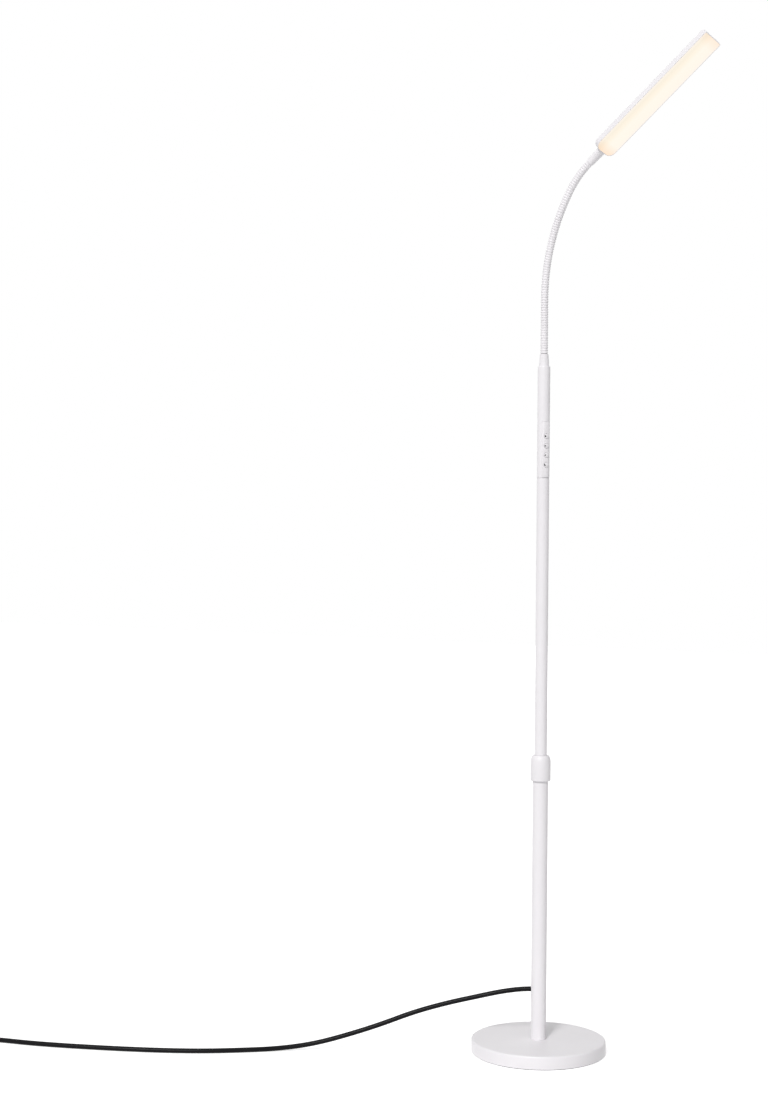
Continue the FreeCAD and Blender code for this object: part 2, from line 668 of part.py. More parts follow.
def make_head_screws():
    screws = []
    for place in screw_places:
        head = Part.makeCylinder(SCREW_HEAD_R, SCREW_HEAD, Vector(place, 0, board_under - SCREW_HEAD))
        thread = Part.makeCylinder(SCREW_R - PRESS_GAP, LED_BOARD_THICK + LED_BOSS,
                                   Vector(place, 0, board_under))
        screws.append(on_head(head.fuse(thread)))
    return Part.makeCompound(screws)


save("head_ferrule", make_head_ferrule())
save("head_housing", make_head_housing())
save("diffuser", on_head(head_slab(lens_ledge, -half_thick + DIFFUSER_SET_BACK, lens_seat)))
save("led_board", make_led_board())
save("led_chips", make_leds())
save("head_screws", make_head_screws())

# ---------------------------------------------------------------- cord, coil and plug
# The route is set out from the column along the line that the cord leaves by: how far out, how far to
# the side, how high. Its first point is inside the grommet.
LAY_ANGLE = 206.0
CORD_ROUTE = [
    (92.0, -5.5, 91.0), (150.0, -6.0, 78.3), (205.0, -5.0, 63.0), (258.0, -3.0, 43.0), (312.0, -1.0, 26.0),
    (368.0, 0.0, 10.8), (425.0, 5.0, CORD_R), (485.0, 16.0, CORD_R), (545.0, 22.5, CORD_R),
    (605.0, 21.0, CORD_R), (665.0, 14.5, CORD_R), (725.0, 5.0, CORD_R), (785.0, -6.5, CORD_R),
    (838.0, -19.5, CORD_R), (884.0, -35.5, CORD_R), (921.0, -46.0, CORD_R)]
CORD_STRAIGHT_OUT = 33.0
COIL_CENTRE = (972.0, -1.5)


def laid(out, side, height):
    a = math.radians(LAY_ANGLE)
    along = Vector(math.cos(a), math.sin(a), 0)
    across = Vector(-math.sin(a), math.cos(a), 0)
    return along.multiply(out).add(across.multiply(side)).add(Vector(0, 0, height))


exit_dir = Vector(math.cos(math.radians(CORD_EXIT_ANGLE)), math.sin(math.radians(CORD_EXIT_ANGLE)), 0)
exit_mouth = Vector(0, 0, CORD_EXIT_Z) + exit_dir * (LOWER_TUBE_R - GROMMET_DEPTH)
coil_pitch = 2 * CORD_R + COIL_GAP
coil_low = CORD_R
coil_high = CORD_R + coil_pitch
coil_sweep = 360.0 * COIL_TURNS
coil_mid = coil_sweep / 2
coil_inner_r = COIL_OUTER_R - coil_pitch * coil_mid / 360.0
CLIMB_HALF = 90.0


def coil_point(turn):
    """Centre line of the coil: a spiral in on the floor, a climb where it reverses, a spiral out on top."""
    radius = coil_inner_r + coil_pitch * abs(turn - coil_mid) / 360.0
    climb = min(max((turn - coil_mid + CLIMB_HALF) / (2 * CLIMB_HALF), 0), 1)
    height = coil_low + (coil_high - coil_low) * climb * climb * (3 - 2 * climb)
    a = math.radians(turn)
    out = COIL_CENTRE[0] + radius * math.sin(a)
    side = COIL_CENTRE[1] - radius * math.cos(a)
    return laid(out, side, height)


def coil_tangent(turn, reach=0.5):
    low = max(turn - reach, 0)
    high = min(turn + reach, coil_sweep)
    return coil_point(high).sub(coil_point(low)).normalize()


def arc_from(start, corner, end):
    """Arc that leaves start towards corner and reaches end, corner being as far from both."""
    chord = end.sub(start)
    w = corner.sub(start).normalize().dot(chord.normalize())
    middle = (start + corner * (2 * w) + end) * (1 / (2 + 2 * w))
    return Part.Arc(start, middle, end).toShape()


def biarc(p1, t1, p2, t2):
    """Two arcs that join p1 to p2 with the directions t1 and t2 at their ends."""
    v = p2.sub(p1)
    t = t1 + t2
    spread = 2 * (1 - t1.dot(t2))
    reach = (-v.dot(t) + math.sqrt(v.dot(t) ** 2 + spread * v.dot(v))) / spread
    q1 = p1 + t1 * reach
    q2 = p2 - t2 * reach
    joint = (q1 + q2) * 0.5
    return [arc_from(p1, q1, joint), arc_from(joint, q2, p2)]


def swept(edges, start, direction):
    profile = Part.Wire([Part.Circle(start, direction, CORD_R).toShape()])
    solid = Part.Wire(edges).makePipeShell([profile], True, False)
    return Part.Solid(solid) if solid.ShapeType == "Shell" else solid


def coil_nodes():
    quarters = 6
    first = [(coil_mid - CLIMB_HALF) * k / quarters for k in range(quarters + 1)]
    last = [coil_sweep - turn for turn in reversed(first)]
    return first + [coil_mid] + last


def make_coil():
    turns = coil_nodes()
    points = [coil_point(turn) for turn in turns]
    tangents = [coil_tangent(turn) for turn in turns]
    tail_end = points[-1] + tangents[-1] * COIL_STRAIGHT
    lead_start = points[0] - tangents[0] * COIL_STRAIGHT
    edges = [Part.makeLine(lead_start, points[0])]
    for k in range(len(points) - 1):
        edges += biarc(points[k], tangents[k], points[k + 1], tangents[k + 1])
    edges.append(Part.makeLine(points[-1], tail_end))
    return swept(edges, lead_start, tangents[0]), lead_start, tangents[0], tail_end, tangents[-1]


def least_gap():
    """Smallest gap between turns of the coil, on points of its centre line."""
    steps = 260
    turns = [coil_sweep * k / steps for k in range(steps + 1)]
    points = [coil_point(turn) for turn in turns]
    gaps = [points[i].sub(points[j]).Length for i in range(len(points)) for j in range(i)
            if turns[i] - turns[j] > 180]
    return min(gaps) - 2 * CORD_R


def rounded_route(points):
    """Straight runs joined by tangent arcs, each arc as large as its two runs allow."""
    edges = []
    radii = []
    at = points[0]
    for before, corner, after in zip(points, points[1:], points[2:]):
        into = corner.sub(before)
        onward = after.sub(corner)
        cut = 0.45 * min(into.Length, onward.Length)
        arc_start = corner - into.normalize() * cut
        arc_end = corner + onward.normalize() * cut
        half_turn = into.getAngle(onward) / 2
        radii.append(cut / math.tan(half_turn))
        edges.append(Part.makeLine(at, arc_start))
        edges.append(arc_from(arc_start, corner, arc_end))
        at = arc_end
    edges.append(Part.makeLine(at, points[-1]))
    return edges, radii


def make_plug(start, direction):
    """Moulded plug, made along +X with its cord entry at the origin, then turned to the cord's end."""
    half = coil_high
    relief = Part.makeCone(CORD_R + 0.8, PLUG_RELIEF_R, PLUG_RELIEF_LENGTH, ORIGIN, Vector(1, 0, 0))
    grip = Part.makeBox(PLUG_BODY_LENGTH, PLUG_WIDTH, 2 * half,
                        Vector(PLUG_RELIEF_LENGTH, -PLUG_WIDTH / 2, -half))
    long_edges = [e for e in grip.Edges if e.BoundBox.XLength > 1]
    grip = grip.makeFillet(5.0, long_edges)
    back_rim = [e for e in grip.Edges if e.BoundBox.XMax < PLUG_RELIEF_LENGTH + 1e-6]
    grip = grip.makeFillet(3.5, back_rim)
    face = PLUG_RELIEF_LENGTH + PLUG_BODY_LENGTH
    rise = EARTH_PIN_DROP / 2
    pins = []
    for middle in (-BLADE_SPACING / 2, BLADE_SPACING / 2):
        corner = Vector(face, middle - BLADE_THICK / 2, rise - BLADE_WIDTH / 2)
        blade = Part.makeBox(BLADE_LENGTH, BLADE_THICK, BLADE_WIDTH, corner)
        tip_x = face + BLADE_LENGTH - 1e-6
        tip = [e for e in blade.Edges if e.BoundBox.XMin > tip_x and e.BoundBox.YLength > 1]
        pins.append(blade.makeChamfer(1.2, tip))
    earth = Part.makeCylinder(EARTH_PIN_R, EARTH_PIN_LENGTH, Vector(face, 0, rise - EARTH_PIN_DROP),
                              Vector(1, 0, 0))
    tip = [e for e in earth.Edges if e.BoundBox.XMin > face + EARTH_PIN_LENGTH - 1e-6]
    pins.append(earth.makeChamfer(1.0, tip))
    place = FreeCAD.Placement(start, FreeCAD.Rotation(Vector(1, 0, 0), direction))
    body = relief.fuse(grip).removeSplitter()
    blades = Part.makeCompound(pins)
    body.Placement = place
    blades.Placement = place
    return body, blades


coil, coil_start, coil_dir, coil_end, coil_end_dir = make_coil()
route = [exit_mouth, exit_mouth + exit_dir * CORD_STRAIGHT_OUT]
route += [laid(*point) for point in CORD_ROUTE]
route += [coil_start - coil_dir * 22.0, coil_start]
cord_edges, cord_radii = rounded_route(route)
cord = swept(cord_edges, route[0], exit_dir)
print("   cord radii", [round(radius) for radius in cord_radii])
cord_line = sum(edge.Length for edge in cord_edges)
cord_ratio = cord.Volume / (math.pi * CORD_R ** 2 * cord_line)
print("   cord volume ratio %.4f, length %.0f" % (cord_ratio, cord_line))
coil_line = coil.Volume / (math.pi * CORD_R ** 2)
print("   coil length %.0f, least gap %.2f, inner radius %.1f" % (coil_line, least_gap(), coil_inner_r))
plug_body, plug_pins = make_plug(coil_end, coil_end_dir)
save("cord", cord)
save("cord_coil", coil)
save("plug", plug_body)
save("plug_pins", plug_pins)
for number, point in enumerate(route):
    print("   route %2d  %.1f %.1f %.1f" % (number, point.x, point.y, point.z))
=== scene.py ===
import math

import bpy
from mathutils import Matrix, Quaternion, Vector


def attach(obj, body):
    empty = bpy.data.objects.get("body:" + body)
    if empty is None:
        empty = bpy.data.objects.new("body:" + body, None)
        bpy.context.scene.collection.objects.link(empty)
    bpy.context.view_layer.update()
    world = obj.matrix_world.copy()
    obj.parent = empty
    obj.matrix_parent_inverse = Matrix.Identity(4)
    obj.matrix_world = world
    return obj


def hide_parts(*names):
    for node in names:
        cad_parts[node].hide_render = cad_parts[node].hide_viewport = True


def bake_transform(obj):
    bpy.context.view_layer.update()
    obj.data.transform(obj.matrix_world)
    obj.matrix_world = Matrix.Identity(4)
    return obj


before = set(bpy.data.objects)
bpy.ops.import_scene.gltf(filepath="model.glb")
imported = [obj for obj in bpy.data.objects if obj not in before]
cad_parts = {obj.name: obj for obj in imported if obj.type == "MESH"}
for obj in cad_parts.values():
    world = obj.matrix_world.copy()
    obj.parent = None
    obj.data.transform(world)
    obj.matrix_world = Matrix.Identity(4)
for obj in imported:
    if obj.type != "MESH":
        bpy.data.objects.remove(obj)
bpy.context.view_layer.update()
bpy.context.scene.view_settings.view_transform = "Standard"

# ---- Camera
# It stands 3.35 m off, at the height of the control section, a little right of the lamp's bend plane, and
# looks slightly down. The lamp is left of the middle of its picture.
camera_heading = math.radians(26.0)
camera_pitch = math.radians(1.823)
camera_roll = math.radians(0.353)
camera_distance, camera_aside, camera_height = 3.3502, 0.2577, 0.9261
sensor_width, focal_length = 36.0, 67.33
towards_camera = Vector((math.sin(camera_heading), -math.cos(camera_heading), 0))
to_the_right = Vector((math.cos(camera_heading), math.sin(camera_heading), 0))

camera_data = bpy.data.cameras.new("camera")
camera_data.sensor_width = sensor_width
camera_data.lens = focal_length
camera = bpy.data.objects.new("camera", camera_data)
bpy.context.collection.objects.link(camera)
camera.location = (towards_camera * camera_distance - to_the_right * camera_aside
                   + Vector((0, 0, camera_height)))
aim = -towards_camera * math.cos(camera_pitch) - Vector((0, 0, math.sin(camera_pitch)))
camera.rotation_mode = "QUATERNION"
camera.rotation_quaternion = aim.to_track_quat("-Z", "Y") @ Quaternion((0, 0, 1), camera_roll)
bpy.context.scene.camera = camera

# ---- Floor, backdrop and lamps
# A pale studio floor under a white surround. The camera sees both as white, while the lamp itself is lit by
# an even room light and one broad key from the front left, so that it renders about as it is painted.
room_light = 0.56
dark_side = to_the_right * 0.87 - towards_camera * 0.5
dark_side_share = 0.12
dark_side_start, dark_side_full = 0.3, 0.7
key_strength = 1.62
key_spread = math.radians(12)
key_elevation = math.radians(39.0)
key_swing = math.radians(20.0)
floor_size, floor_drop = 16, 0.0002
floor_lift = 0.6


def seen_directly(nodes, links):
    """1 for rays from the camera, a mirror or a glass, 0 for the light that falls on things."""
    path = nodes.new("ShaderNodeLightPath")
    total = path.outputs["Is Camera Ray"]
    for other in ("Is Glossy Ray", "Is Transmission Ray"):
        either = nodes.new("ShaderNodeMath")
        either.operation = "MAXIMUM"
        links.new(total, either.inputs[0])
        links.new(path.outputs[other], either.inputs[1])
        total = either.outputs[0]
    return total


def spread_out(nodes, links, value, low, high, to_low=0.0, to_high=1.0):
    """Stretches what lies between two values onto another span, and holds the rest at the span's ends."""
    spread = nodes.new("ShaderNodeMapRange")
    spread.inputs["From Min"].default_value = low
    spread.inputs["From Max"].default_value = high
    spread.inputs["To Min"].default_value = to_low
    spread.inputs["To Max"].default_value = to_high
    links.new(value, spread.inputs["Value"])
    return spread.outputs["Result"]


world = bpy.data.worlds.new("studio")
bpy.context.scene.world = world
world.use_nodes = True
nodes, links = world.node_tree.nodes, world.node_tree.links
nodes.clear()
room = nodes.new("ShaderNodeBackground")
room.inputs["Color"].default_value = (1, 1, 1, 1)
sky = nodes.new("ShaderNodeTexCoord")
to_dark_side = nodes.new("ShaderNodeVectorMath")
to_dark_side.operation = "DOT_PRODUCT"
links.new(sky.outputs["Generated"], to_dark_side.inputs[0])
to_dark_side.inputs[1].default_value = dark_side
fall_off = spread_out(nodes, links, to_dark_side.outputs["Value"], dark_side_start, dark_side_full,
                      room_light, room_light * dark_side_share)
links.new(fall_off, room.inputs["Strength"])
surround = nodes.new("ShaderNodeBackground")
surround.inputs["Color"].default_value = (1, 1, 1, 1)
surround.inputs["Strength"].default_value = 1.0
either = nodes.new("ShaderNodeMixShader")
links.new(seen_directly(nodes, links), either.inputs["Fac"])
links.new(room.outputs[0], either.inputs[1])
links.new(surround.outputs[0], either.inputs[2])
output = nodes.new("ShaderNodeOutputWorld")
links.new(either.outputs[0], output.inputs["Surface"])

bpy.ops.object.select_all(action="DESELECT")
bpy.ops.mesh.primitive_plane_add(size=floor_size, location=(0, 0, -floor_drop))
studio_floor = bpy.context.object
studio_floor.name = "studio_floor"
floor_paint = bpy.data.materials.new("floor_paint")
floor_paint.use_nodes = True
nodes, links = floor_paint.node_tree.nodes, floor_paint.node_tree.links
matt = nodes["Principled BSDF"]
matt.inputs["Base Color"].default_value = (0.86, 0.86, 0.86, 1)
matt.inputs["Roughness"].default_value = 0.9
matt.inputs["Specular IOR Level"].default_value = 0.1
matt.inputs["Emission Color"].default_value = (1, 1, 1, 1)
lift = nodes.new("ShaderNodeMath")
lift.operation = "MULTIPLY"
links.new(seen_directly(nodes, links), lift.inputs[0])
lift.inputs[1].default_value = floor_lift
links.new(lift.outputs[0], matt.inputs["Emission Strength"])
studio_floor.data.materials.append(floor_paint)

key_data = bpy.data.lights.new("key_light", "SUN")
key_data.energy = key_strength
key_data.angle = key_spread
key_light = bpy.data.objects.new("key_light", key_data)
bpy.context.collection.objects.link(key_light)
key_side = towards_camera * math.cos(key_swing) - to_the_right * math.sin(key_swing)
key_from = key_side * math.cos(key_elevation) + Vector((0, 0, math.sin(key_elevation)))
key_light.rotation_mode = "QUATERNION"
key_light.rotation_quaternion = key_from.to_track_quat("Z", "Y")

# ---- Mains cord
# Round black PVC cord, 8 mm across and about 1.8 m long. It comes straight out of the tube through a bush,
# hangs to the floor and lies there; the length past the picture's edge is wound into a coil of two layers.
cord_radius = 0.004
exit_heading = math.radians(201.0)
exit_height = 0.1036
exit_dir = Vector((math.cos(exit_heading), math.sin(exit_heading), 0))
lower_tube_radius = 0.0125
bush_depth = 0.0035
first_run = 0.016
lay_heading = math.radians(206.0)
cord_route = [
    (0.062, -0.0030, 0.0985), (0.100, -0.0055, 0.0895), (0.150, -0.006, 0.0783), (0.205, -0.005, 0.063),
    (0.258, -0.003, 0.043), (0.312, -0.001, 0.026), (0.368, 0.0, 0.0108), (0.425, 0.005, cord_radius),
    (0.485, 0.016, cord_radius), (0.545, 0.0225, cord_radius), (0.605, 0.021, cord_radius),
    (0.665, 0.0145, cord_radius), (0.725, 0.005, cord_radius), (0.785, -0.0065, cord_radius),
    (0.838, -0.0195, cord_radius), (0.884, -0.0355, cord_radius), (0.921, -0.046, cord_radius)]
coil_centre = (0.972, -0.0015)
coil_outer_radius = 0.048
coil_pitch = 0.0086
coil_sweep = 360.0 * 3.25
coil_steps = 78
climb_half = 90.0
coil_straight = 0.008
lead_in = 0.022
small_turn = 0.5


def laid(out, side, height):
    """A point of the cord: how far out along the line it leaves by, how far aside, how high."""
    along = Vector((math.cos(lay_heading), math.sin(lay_heading), 0))
    across = Vector((-math.sin(lay_heading), math.cos(lay_heading), 0))
    return along * out + across * side + Vector((0, 0, height))


def coil_point(turn):
    """Spirals in on the floor, climbs a layer in the half turn where it reverses, and spirals out on top."""
    middle = coil_sweep / 2
    radius = coil_outer_radius - coil_pitch * (middle - abs(turn - middle)) / 360.0
    climb = min(max((turn - middle + climb_half) / (2 * climb_half), 0), 1)
    height = cord_radius + coil_pitch * climb * climb * (3 - 2 * climb)
    angle = math.radians(turn)
    out = coil_centre[0] + radius * math.sin(angle)
    side = coil_centre[1] - radius * math.cos(angle)
    return laid(out, side, height)


bush_mouth = Vector((0, 0, exit_height)) + exit_dir * (lower_tube_radius - bush_depth)
coil_start_dir = (coil_point(small_turn) - coil_point(0)).normalized()
coil_end_dir = (coil_point(coil_sweep) - coil_point(coil_sweep - small_turn)).normalized()
coil_start = coil_point(0) - coil_start_dir * coil_straight
line = [bush_mouth, bush_mouth + exit_dir * first_run]
line += [laid(*point) for point in cord_route]
line += [coil_start - coil_start_dir * lead_in, coil_start]
line += [coil_point(coil_sweep * k / coil_steps) for k in range(coil_steps + 1)]
line.append(line[-1] + coil_end_dir * coil_straight)

cord_curve = bpy.data.curves.new("mains_cord", "CURVE")
cord_curve.dimensions = "3D"
cord_curve.bevel_depth = cord_radius
cord_curve.bevel_resolution = 8
cord_curve.resolution_u = 6
cord_curve.use_fill_caps = True
spline = cord_curve.splines.new("NURBS")
spline.points.add(len(line) - 1)
for control, place in zip(spline.points, line):
    control.co = (*place, 1)
spline.order_u = 3
spline.use_endpoint_u = True
mains_cord = bpy.data.objects.new("mains_cord", cord_curve)
bpy.context.collection.objects.link(mains_cord)

noise_low, noise_high = 0.3, 0.7
colour_patches, gloss_patches = 24.0, 60.0
patch_detail, grain_detail = 3.0, 1.5


def uneven(finish, scale, low, high, detail=patch_detail):
    """A value that wanders between low and high over the piece, in patches of about 1/scale metres."""
    nodes, links = finish.node_tree.nodes, finish.node_tree.links
    place = nodes.new("ShaderNodeTexCoord")
    cloud = nodes.new("ShaderNodeTexNoise")
    cloud.inputs["Scale"].default_value = scale
    cloud.inputs["Detail"].default_value = detail
    links.new(place.outputs["Object"], cloud.inputs["Vector"])
    return spread_out(nodes, links, cloud.outputs["Fac"], noise_low, noise_high, low, high)


def skin_finish(name, dark, light, rough_low, rough_high, grain_scale, grain_height):
    """A finish whose colour and gloss wander slightly and whose skin has a fine grain of a real height."""
    finish = bpy.data.materials.new(name)
    finish.use_nodes = True
    nodes, links = finish.node_tree.nodes, finish.node_tree.links
    shader = nodes["Principled BSDF"]
    blend = nodes.new("ShaderNodeMix")
    blend.data_type = "RGBA"
    blend.inputs["A"].default_value = (*dark, 1)
    blend.inputs["B"].default_value = (*light, 1)
    links.new(uneven(finish, colour_patches, 0.0, 1.0), blend.inputs["Factor"])
    links.new(blend.outputs["Result"], shader.inputs["Base Color"])
    links.new(uneven(finish, gloss_patches, rough_low, rough_high), shader.inputs["Roughness"])
    grain = nodes.new("ShaderNodeBump")
    grain.inputs["Strength"].default_value = 1.0
    grain.inputs["Distance"].default_value = grain_height
    links.new(uneven(finish, grain_scale, 0.0, 1.0, grain_detail), grain.inputs["Height"])
    links.new(grain.outputs["Normal"], shader.inputs["Normal"])
    return finish


black_sheath = skin_finish("black_sheath", (0.003, 0.003, 0.004), (0.006, 0.006, 0.007), 0.30, 0.38,
                           900.0, 0.00002)
black_sheath.node_tree.nodes["Principled BSDF"].inputs["Specular IOR Level"].default_value = 0.12
cord_curve.materials.append(black_sheath)
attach(mains_cord, "stand")
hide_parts("cord", "cord_coil")

# ---- Mains plug
# Moulded black plug on the cord's end, lying beside the coil on the floor, with three plated pins.


def repaint(node, finish):
    """Gives a CAD node that stays as it is its own finish."""
    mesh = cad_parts[node].data
    mesh.materials.clear()
    mesh.materials.append(finish)


def metal_finish(name, colour, rough_low, rough_high, grain_scale, grain_height):
    """Bare or plated metal with a fine grain."""
    finish = skin_finish(name, tuple(0.9 * c for c in colour), colour, rough_low, rough_high,
                         grain_scale, grain_height)
    finish.node_tree.nodes["Principled BSDF"].inputs["Metallic"].default_value = 1.0
    return finish


plated_steel = metal_finish("plated_steel", (0.64, 0.63, 0.60), 0.24, 0.36, 700.0, 0.00001)
repaint("plug", skin_finish("moulded_black", (0.012, 0.012, 0.013), (0.02, 0.02, 0.021), 0.45, 0.58,
                            1500.0, 0.00003))
repaint("plug_pins", plated_steel)

# ---- Base cover
# Spun steel disc with a rolled edge, powder coated white. It drops over the iron weight, and the column
# stands through the hole in its middle.
base_radius = 0.110
base_top = 0.022
edge_radius = 0.003
cover_wall = 0.0015
skirt_bottom, skirt_round = 0.001, 0.0005
tube_hole = 0.0126
weld_distance = 0.000005


def arc(centre_radius, centre_height, radius, start, end, steps):
    """Points (radius, height) round a corner of an outline, from one angle in degrees to another."""
    points = []
    for k in range(steps + 1):
        angle = math.radians(start + (end - start) * k / steps)
        points.append((centre_radius + radius * math.cos(angle), centre_height + radius * math.sin(angle)))
    return points


def ring_by_ring(name, rings, sides):
    """A closed hollow shape about Z. One ring is extruded and scaled to the half thickness, half width and
    height of each next one, and at last back to the first."""
    bpy.ops.object.select_all(action="DESELECT")
    thick, width, height = rings[0]
    bpy.ops.mesh.primitive_circle_add(vertices=sides, radius=thick, location=(0, 0, height))
    piece = bpy.context.object
    piece.name = name
    bpy.ops.object.mode_set(mode="EDIT")
    bpy.ops.mesh.select_mode(type="VERT")
    bpy.ops.mesh.select_all(action="SELECT")
    for next_thick, next_width, next_height in rings[1:] + rings[:1]:
        bpy.ops.mesh.extrude_region_move(TRANSFORM_OT_translate={"value": (0, 0, next_height - height)})
        bpy.ops.transform.resize(value=(next_thick / thick, next_width / width, 1),
                                 center_override=(0, 0, next_height))
        thick, width, height = next_thick, next_width, next_height
    bpy.ops.mesh.select_all(action="SELECT")
    bpy.ops.mesh.remove_doubles(threshold=weld_distance)
    bpy.ops.mesh.normals_make_consistent(inside=False)
    bpy.ops.object.mode_set(mode="OBJECT")
    return piece


def settle(piece):
    """Puts the piece's place into its mesh and shades its curved faces smooth."""
    bpy.ops.object.select_all(action="DESELECT")
    piece.select_set(True)
    bpy.context.view_layer.objects.active = piece
    bpy.ops.object.transform_apply(location=True, rotation=True, scale=True)
    bpy.ops.object.shade_smooth_by_angle(angle=math.radians(32))


def turn_piece(name, outline, sides):
    """A piece of revolution, from the radius and height of each point of its closed outline."""
    piece = ring_by_ring(name, [(radius, radius, height) for radius, height in outline], sides)
    settle(piece)
    return piece


def fit(piece, finish, body, slot_name, *nodes):
    """Paints a finished piece, hangs it on its body and lets it stand for its CAD nodes."""
    piece.data.materials.clear()
    piece.data.materials.append(finish)
    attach(piece, body)
    if nodes:
        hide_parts(*nodes)


white_coat = skin_finish("white_powder_coat", (0.856, 0.833, 0.858), (0.868, 0.846, 0.870), 0.30, 0.38,
                         750.0, 0.000004)
outline = [(tube_hole, base_top)]
outline += arc(base_radius - edge_radius, base_top - edge_radius, edge_radius, 90, 0, 8)
outline += arc(base_radius - skirt_round, skirt_bottom + skirt_round, skirt_round, 0, -90, 3)
outline += [(base_radius - cover_wall, skirt_bottom)]
outline += arc(base_radius - edge_radius, base_top - edge_radius, edge_radius - cover_wall, 0, 90, 5)
outline += [(tube_hole, base_top - cover_wall)]
base_shell = turn_piece("base_shell", outline, 192)
fit(base_shell, white_coat, "stand", "white_paint", "base_cover")

# ---- What the base hides
# Cast iron weight with its bolt pocket, the soft pad under it, and the bolt, washer and plug that draw the
# column down on the weight.
repaint("base_weight", metal_finish("cast_iron", (0.13, 0.13, 0.135), 0.6, 0.8, 380.0, 0.00015))
repaint("base_pad", skin_finish("foam_pad", (0.035, 0.035, 0.037), (0.05, 0.05, 0.052), 0.85, 0.95,
                                1200.0, 0.0001))
repaint("base_bolt", plated_steel)
repaint("base_washer", plated_steel)
repaint("tube_plug", plated_steel)

# ---- Lower tube
# Steel tube 25 mm across, powder coated, pressed on its plug at the foot. The hole near the foot takes the
# cord's bush.
tube_foot, lower_tube_top = 0.0145, 0.470
lower_tube_bore = 0.011
bush_hole_radius = 0.00545
below_hole, above_hole = 0.060, 0.160


def carve(piece, tool, operation="DIFFERENCE"):
    """Cuts a piece with another one, or keeps what they share, and takes the other away."""
    cut = piece.modifiers.new("cut", "BOOLEAN")
    cut.operation = operation
    cut.object = tool
    bpy.ops.object.select_all(action="DESELECT")
    bpy.context.view_layer.objects.active = piece
    piece.select_set(True)
    bpy.ops.object.modifier_apply(modifier=cut.name)
    bpy.data.objects.remove(tool)


def outward_bar(radius, heading, height, start, length, sides=48):
    """A round bar that points out from the column at this heading and height."""
    direction = Vector((math.cos(heading), math.sin(heading), 0))
    bpy.ops.object.select_all(action="DESELECT")
    bpy.ops.mesh.primitive_cylinder_add(
        vertices=sides, radius=radius, depth=length,
        location=direction * (start + length / 2) + Vector((0, 0, height)),
        rotation=(0, math.pi / 2, heading))
    return bpy.context.object


outline = [(lower_tube_bore, tube_foot), (lower_tube_radius, tube_foot), (lower_tube_radius, below_hole),
           (lower_tube_radius, above_hole), (lower_tube_radius, lower_tube_top),
           (lower_tube_bore, lower_tube_top), (lower_tube_bore, above_hole), (lower_tube_bore, below_hole)]
lower_column = turn_piece("lower_column", outline, 96)
carve(lower_column, outward_bar(bush_hole_radius, exit_heading, exit_height, start=0.002, length=0.02))
settle(lower_column)
fit(lower_column, white_coat, "stand", "white_paint", "lower_tube")

# ---- Cord bush
# White moulded bush in the tube's hole. Its thin lip lies on the tube and its bore guides the cord.
white_moulding = skin_finish("white_moulding", (0.854, 0.832, 0.856), (0.868, 0.846, 0.870), 0.36, 0.44,
                             1600.0, 0.000003)
repaint("cord_grommet", white_moulding)

# ---- Twist lock
# Nylon collet with four fingers on the tube's top, and the domed collar that turns on its thread and
# squeezes the fingers on the upper tube.
collar_radius = 0.0164
collar_bottom, collar_shoulder, collar_top = 0.446, 0.476, 0.488
collar_hole = 0.0107
collar_land = 0.0008
collar_foot_round, collar_lip_break = 0.0016, 0.0002
collar_mouth = 0.0134
collar_bore, bore_bottom, bore_top = 0.01365, 0.449, 0.474
wedge_low, wedge_high, wedge_top = 0.01395, 0.01215, 0.4823
dome_steps = 14
nylon = skin_finish("natural_nylon", (0.76, 0.75, 0.70), (0.80, 0.79, 0.75), 0.45, 0.55, 900.0, 0.00002)
repaint("collet", nylon)
outline = arc(collar_radius - collar_foot_round, collar_bottom + collar_foot_round, collar_foot_round,
              -90, 0, 4)
outline += [(collar_radius, collar_shoulder)]
dome_run = collar_radius - collar_hole - collar_land
for k in range(1, dome_steps + 1):
    angle = math.radians(90 * k / dome_steps)
    outline.append((collar_hole + collar_land + dome_run * math.cos(angle),
                    collar_shoulder + (collar_top - collar_shoulder) * math.sin(angle)))
outline += [(collar_hole + collar_lip_break, collar_top), (collar_hole, collar_top - collar_lip_break),
            (collar_hole, wedge_top), (wedge_high, wedge_top), (wedge_low, bore_top), (collar_bore, bore_top),
            (collar_bore, bore_bottom), (collar_mouth, bore_bottom), (collar_mouth, collar_bottom)]
clamp_collar = turn_piece("clamp_collar", outline, 96)
fit(clamp_collar, white_moulding, "collar", "white_plastic", "lock_collar")

# ---- Sliding foot
# Nylon bush and foot plug that keep the upper tube central in the lower one.
repaint("slide_bush", nylon)
repaint("tube_foot", nylon)

# ---- Upper tube
# Steel tube 20 mm across, powder coated, which slides and turns in the lower one.
upper_tube_radius, upper_tube_bore = 0.010, 0.0088
upper_tube_bottom, upper_tube_top = 0.44085, 0.9397
tube_edge_break = 0.0003
outline = [(upper_tube_bore, upper_tube_bottom), (upper_tube_radius, upper_tube_bottom),
           (upper_tube_radius, upper_tube_top - tube_edge_break),
           (upper_tube_radius - tube_edge_break, upper_tube_top), (upper_tube_bore, upper_tube_top)]
upper_column = turn_piece("upper_column", outline, 96)
fit(upper_column, white_coat, "mast", "white_paint", "upper_tube")

